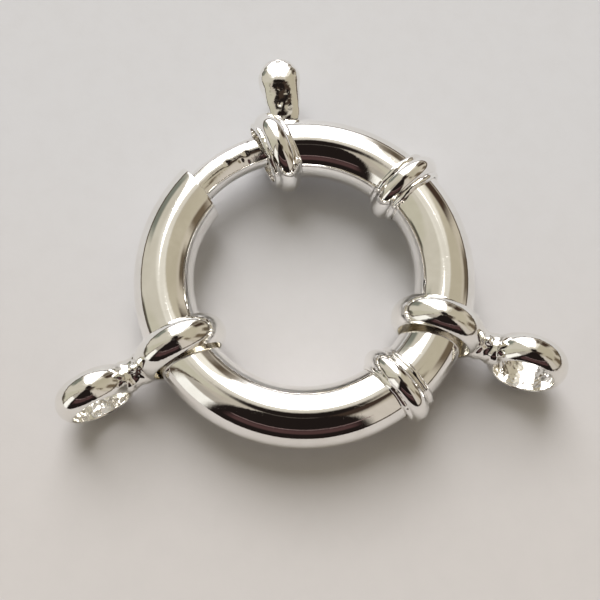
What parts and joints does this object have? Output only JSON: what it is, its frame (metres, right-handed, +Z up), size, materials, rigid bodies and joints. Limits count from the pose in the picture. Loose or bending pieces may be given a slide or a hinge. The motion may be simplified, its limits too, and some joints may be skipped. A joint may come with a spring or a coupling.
{
  "type": "spring ring clasp",
  "caption": "Large round spring ring clasp with a sliding gate, ball thumb lever, beaded collars and figure-eight connectors for the ends of a necklace.",
  "frame": {"origin": "centre of the ring's eye, in the middle plane of the tube", "axes": "+Z up along the ring's axis, +Y towards the mouth collar and thumb lever, +X across the ring towards the right connector"},
  "size_m": [0.029, 0.0242, 0.0055],
  "materials": {
    "polished_silver": "bright silver plate over brass, mirror polished with fine scratches",
    "worn_silver": "bright silver plate with small dents and rubbing marks",
    "cast_silver": "bright silver plate over a tumbled casting, rough in the holes and recesses",
    "spring_steel": "plain drawn spring wire"
  },
  "bodies": {
    "ring": {"tube": "polished_silver", "mouth_collar": "polished_silver", "upper_collar": "polished_silver", "lower_collar": "polished_silver", "return_spring": "spring_steel"},
    "gate": {"gate": "worn_silver", "lever": "cast_silver"},
    "left_connector": {"left_connector": "cast_silver"},
    "right_connector": {"right_connector": "cast_silver"}
  },
  "joints": [
    {"name": "gate_draw", "type": "hinge", "parent": "ring", "child": "gate", "pos_m": [0, 0, 0], "axis": [0, 0, -1], "range_deg": [0, 33], "stiffness_Nm_per_rad": 0.015, "springref_deg": -22.92, "deforming": ["return_spring"]},
    {"name": "left_swing", "type": "hinge", "parent": "ring", "child": "left_connector", "pos_m": [-0.00698, -0.0044, 0.00022], "axis": [-0.4956, 0.8684, -0.0174], "range_deg": [0, 150]},
    {"name": "right_swing", "type": "hinge", "parent": "ring", "child": "right_connector", "pos_m": [0.00771, -0.00293, 0.00021], "axis": [-0.3328, -0.9351, 0.1214], "range_deg": [0, 150]}
  ]
}
